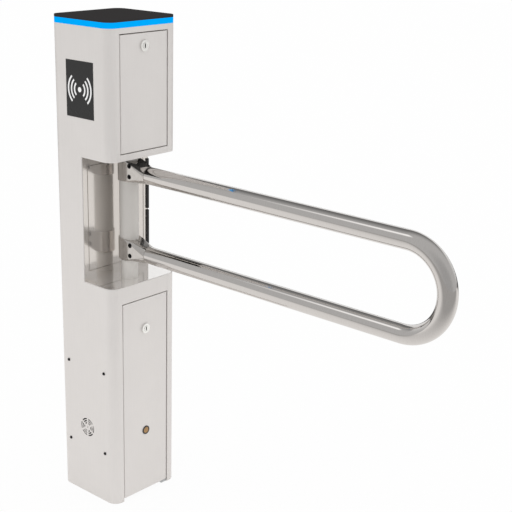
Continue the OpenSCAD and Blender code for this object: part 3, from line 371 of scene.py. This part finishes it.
# Each node by its body, with its material and how far its edges are rounded, in mm.
REFINED = {
    "column": {
        "foot_plate": (ZINC, 0.4), "floor_grommet": (RUBBER, 0.5),
        "near_side_panel": (SATIN, 0.3), "far_side_panel": (SATIN, 0.3),
        "rear_panel": (SATIN, 0.3), "rear_screws": (GROUND, 0.2),
        "upper_top_rail": (SATIN, 0.6), "upper_bottom_rail": (SATIN, 0.6), "lower_top_rail": (SATIN, 0.6),
        # The recess ceiling's black is painted shade, there for the mirrors below it.
        "lock_bar": (ZINC, 0.3), "recess_ceiling": (PAINTED_SHADE_BLACK, 0.2), "recess_floor": (PALE, 0.2),
        "recess_back_frame": (BRUSHED, 0.3), "access_panel": (BRUSHED, 0.3), "rubber_strips": (RUBBER, 0.6),
        "top_tray": (ZINC, 0.2), "light_board": (WHITE, 0.1), "light_diffuser": (BLUE, 0.3),
        "top_lid": (LID, 0.4), "reader_window": (WINDOW, 0.2), "reader_symbol": (INK, 0.05),
        "reader_housing": (ABS, 0.6), "speaker": (ABS, 0.3), "side_screws": (BLACKENED, 0.15),
        "equipment_plate": (ZINC, 0.3), "power_supply": (ALUMINIUM, 0.4), "control_board": (GREEN, 0.1),
        "motor_deck": (ZINC, 0.4), "gearbox": (PAINT, 1.0), "gearbox_bolts": (BLACKENED, 0.2),
        "motor": (ENAMEL, 0.4), "brake": (ENAMEL, 0.8),
        "lower_bearing_housing": (PAINT, 0.6), "upper_bearing_housing": (PAINT, 0.6),
        # The bearing boss is painted paler, as painted light against the shade in the recess.
        "shaft_bearings": (GROUND, 0.3), "bearing_boss": (BLASTED_PAINTED_PALER, 0.4), "thrust_washer": (BRONZE, 0.2),
        "sensor_bridge": (ZINC, 0.3), "position_sensors": (BRASS, 0.2), "door_pins": (GROUND, 0.3),
    },
    "upper_door": {
        "upper_door": (SATIN, 0.4), "upper_lock_body": (CHROME, 0.5), "upper_lock_nut": (ZINC, 0.3),
    },
    "lower_door": {
        "lower_door": (SATIN, 0.4), "lower_lock_body": (CHROME, 0.5), "lower_lock_nut": (ZINC, 0.3),
        "passage_sensor": (ABS, 0.3), "sensor_lens": (AMBER, 0.3), "sensor_nut": (ZINC, 0.3),
    },
    "upper_lock": {"upper_lock_plug": (CHROME, 0.2), "upper_lock_cam": (ZINC, 0.2)},
    "lower_lock": {"lower_lock_plug": (CHROME, 0.2), "lower_lock_cam": (ZINC, 0.2)},
    "arm": {
        "drive_shaft": (GROUND, 0.4), "limit_disc": (ENAMEL, 0.2), "post": (BLASTED, 0.4),
        "upper_bracket": (CASTING, 0.8), "lower_bracket": (CASTING, 0.8), "clamp_bolts": (BLACKENED, 0.3),
    },
}
for body, made in REFINED.items():
    for node, (material, round_mm) in made.items():
        refined(node, body, material, round_mm)
arm_tube()


# Studio --------------------------------------------------------------------

def change(tree, place, way, span, before, beyond):
    """Changes from one value to another, softly, over a span along a way."""
    along = add(tree, "ShaderNodeVectorMath", {0: place, 1: way}, operation="DOT_PRODUCT")
    return add(tree, "ShaderNodeMapRange", {
        "Value": along.outputs["Value"], "From Min": span[0], "From Max": span[1],
        "To Min": before, "To Max": beyond,
    }, interpolation_type="SMOOTHSTEP").outputs["Result"]


def make_floor():
    """Lays a wide white floor that keeps a faint shadow."""
    bm = bmesh.new()
    bmesh.ops.create_circle(bm, cap_ends=True, segments=FLOOR_SEGMENTS, radius=FLOOR_RADIUS)
    mesh = bpy.data.meshes.new("studio_floor")
    bm.to_mesh(mesh)
    bm.free()
    floor = bpy.data.objects.new("studio_floor", mesh)
    bpy.context.scene.collection.objects.link(floor)
    material = bpy.data.materials.new("white_studio_floor")
    material.use_nodes = True
    tree = material.node_tree
    tree.nodes.clear()
    path = add(tree, "ShaderNodeLightPath")
    seen = add(tree, "ShaderNodeMath", {
        0: path.outputs["Is Camera Ray"], 1: FLOOR_WHITE_SHARE,
    }, operation="MULTIPLY").outputs[0]
    mirrored = add(tree, "ShaderNodeMath", {
        0: path.outputs["Is Glossy Ray"], 1: path.outputs["Is Transmission Ray"],
    }, operation="MAXIMUM").outputs[0]
    # To metal, the floor is dark far behind the object and dim behind the camera.
    place = add(tree, "ShaderNodeTexCoord").outputs["Object"]
    far = change(tree, place, FAR_SIDE, FLOOR_FAR_SPAN, FLOOR_LIGHT, FLOOR_FAR_LIGHT)
    shade = change(tree, place, CAMERA_SIDE, FLOOR_CAMERA_SPAN, far, CAMERA_SIDE_LIGHT)
    matt = add(tree, "ShaderNodeBsdfDiffuse", {"Color": (0.9, 0.9, 0.9, 1)}).outputs[0]
    white = add(tree, "ShaderNodeEmission", {"Color": (1, 1, 1, 1), "Strength": 1.0}).outputs[0]
    glossy = add(tree, "ShaderNodeEmission", {"Color": (1, 0.985, 0.97, 1), "Strength": shade}).outputs[0]
    first = add(tree, "ShaderNodeMixShader", {0: seen, 1: matt, 2: white}).outputs[0]
    both = add(tree, "ShaderNodeMixShader", {0: mirrored, 1: first, 2: glossy}).outputs[0]
    add(tree, "ShaderNodeOutputMaterial", {"Surface": both})
    mesh.materials.append(material)


def make_world():
    """White to the camera; to metal, a pale room with a soft box overhead, dim behind the
    camera, and on the far side a white drape low down with the dark above it."""
    world = bpy.data.worlds.new("studio_world")
    bpy.context.scene.world = world
    world.use_nodes = True
    tree = world.node_tree
    tree.nodes.clear()
    path = add(tree, "ShaderNodeLightPath")
    way = add(tree, "ShaderNodeTexCoord").outputs["Generated"]
    drape = change(tree, way, UPWARDS, DRAPE_TOP_SPAN, DRAPE_LIGHT, ABOVE_DRAPE_LIGHT)
    far = change(tree, way, FAR_SIDE, FAR_SPAN, ROOM_LIGHT, drape)
    room = change(tree, way, CAMERA_SIDE, CAMERA_SPAN, far, CAMERA_SIDE_LIGHT)
    soft = change(tree, way, SOFT_BOX, SOFT_BOX_SPAN, 0.0, SOFT_BOX_LIGHT)
    mirrored = add(tree, "ShaderNodeMath", {0: room, 1: soft}, operation="ADD").outputs[0]
    # Diffuse light is even; only mirror images see the room.
    strength = add(tree, "ShaderNodeMix", {
        0: path.outputs["Is Glossy Ray"], 2: 1.0, 3: mirrored,
    }, data_type="FLOAT").outputs[0]
    light = add(tree, "ShaderNodeBackground", {"Color": (1, 1, 1, 1), "Strength": strength}).outputs[0]
    add(tree, "ShaderNodeOutputWorld", {"Surface": light})


def make_camera():
    """Stands where the photograph was taken from."""
    pitch, yaw, roll = math.radians(PITCH_DEG), math.radians(YAW_DEG), math.radians(ROLL_DEG)
    ahead = Vector((math.cos(pitch) * math.cos(yaw), math.cos(pitch) * math.sin(yaw), -math.sin(pitch)))
    right = ahead.cross(Vector(UPWARDS)).normalized()
    up = right.cross(ahead)
    turned_right = right * math.cos(roll) + up * math.sin(roll)
    turned_up = up * math.cos(roll) - right * math.sin(roll)
    camera = bpy.data.objects.new("photo_camera", bpy.data.cameras.new("photo_camera"))
    bpy.context.scene.collection.objects.link(camera)
    rotation = Matrix((turned_right, turned_up, -ahead)).transposed()
    camera.matrix_world = Matrix.Translation(CAMERA_PLACE) @ rotation.to_4x4()
    camera.data.sensor_width = SENSOR_MM
    camera.data.lens = FOCAL_PX * SENSOR_MM / PHOTO_PX
    camera.data.shift_x = (PHOTO_PX / 2 - AXIS_PX[0]) / PHOTO_PX
    camera.data.shift_y = (AXIS_PX[1] - PHOTO_PX / 2) / PHOTO_PX
    bpy.context.scene.camera = camera


make_floor()
make_world()
make_camera()
bpy.context.scene.view_settings.view_transform = "Standard"
